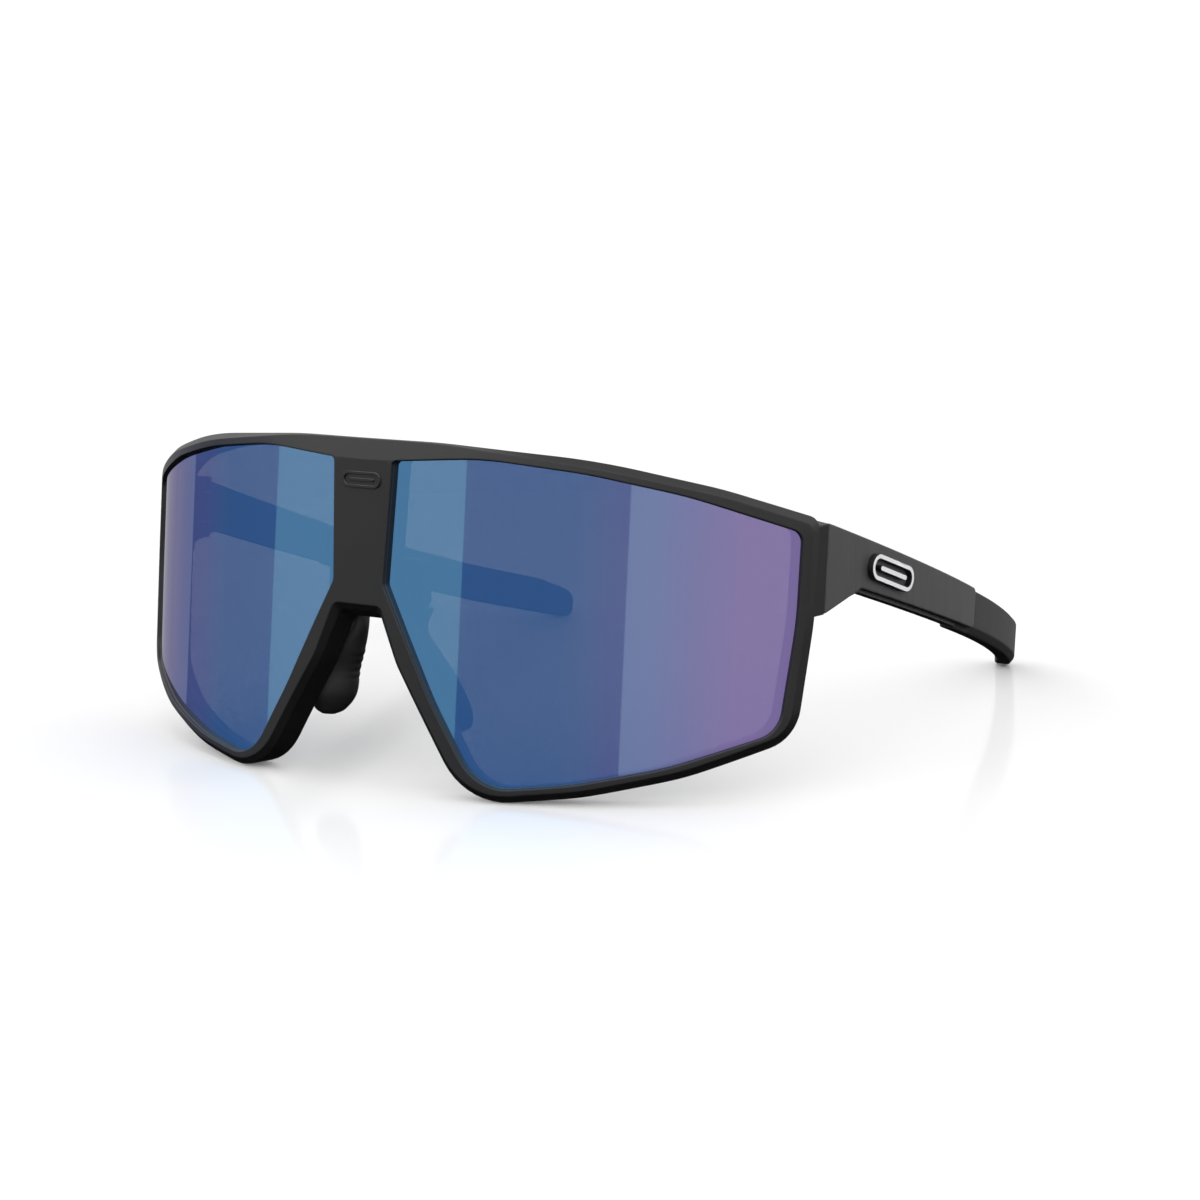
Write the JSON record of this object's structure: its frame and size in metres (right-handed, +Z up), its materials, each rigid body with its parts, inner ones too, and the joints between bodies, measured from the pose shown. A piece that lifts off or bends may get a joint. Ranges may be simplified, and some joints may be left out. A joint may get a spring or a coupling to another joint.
{
  "type": "wraparound sport sunglasses",
  "caption": "Wraparound sport sunglasses with a full-rim front, two curved mirror lenses beside a bridge bar, folding temples with rubber tips and soft nose pads.",
  "frame": {"origin": "middle of the box, on the floor that the glasses stand on with temples open", "axes": "+Z up; the front faces -Y and the temples run back along +Y; +X is the wearer's left"},
  "size_m": [0.1414, 0.1424, 0.0565],
  "materials": {
    "frame_plastic": "matte injection-moulded nylon",
    "mirror_lens": "blue mirror coating on grey polycarbonate",
    "nose_base": "matte moulded nylon",
    "black_badge": "gloss",
    "steel": "bright",
    "nose_rubber": "soft matte rubber",
    "arm_plastic": "matte moulded nylon",
    "cover_plastic": "satin moulded nylon",
    "tip_rubber": "soft matte rubber",
    "white_badge": "satin white",
    "brass": "bright"
  },
  "bodies": {
    "front": {"front_frame": "frame_plastic", "nose_holder": "nose_base", "bridge_badge": "black_badge", "lens_left": "mirror_lens", "lens_right": "mirror_lens", "hinge_screw_left": "steel", "hinge_screw_right": "steel", "hinge_nut_left": "brass", "hinge_nut_right": "brass"},
    "temple_left": {"temple_arm_left": "arm_plastic", "temple_cover_left": "cover_plastic", "temple_core_left": "steel", "temple_tip_left": "tip_rubber", "temple_badge_left": "white_badge", "hinge_bush_left": "steel", "hinge_washers_left": "steel"},
    "temple_right": {"temple_arm_right": "arm_plastic", "temple_cover_right": "cover_plastic", "temple_core_right": "steel", "temple_tip_right": "tip_rubber", "temple_badge_right": "white_badge", "hinge_bush_right": "steel", "hinge_washers_right": "steel"},
    "nose_pad_left": {"nose_arm_left": "steel", "nose_pad_left": "nose_rubber"},
    "nose_pad_right": {"nose_arm_right": "steel", "nose_pad_right": "nose_rubber"}
  },
  "joints": [
    {"name": "temple_fold_left", "type": "hinge", "parent": "front", "child": "temple_left", "pos_m": [0.063, -0.03388, 0.03664], "axis": [0, 0.1104, 0.9939], "range_deg": [0, 88]},
    {"name": "temple_fold_right", "type": "hinge", "parent": "front", "child": "temple_right", "pos_m": [-0.063, -0.03388, 0.03664], "axis": [0, -0.1104, -0.9939], "range_deg": [0, 79]},
    {"name": "nose_pad_bend_left", "type": "hinge", "parent": "front", "child": "nose_pad_left", "pos_m": [0.0064, -0.06128, 0.03002], "axis": [0, 0.9939, -0.1104], "range_deg": [-8, 8]},
    {"name": "nose_pad_bend_right", "type": "hinge", "parent": "front", "child": "nose_pad_right", "pos_m": [-0.0064, -0.06128, 0.03002], "axis": [0, -0.9939, 0.1104], "range_deg": [-8, 8]}
  ]
}
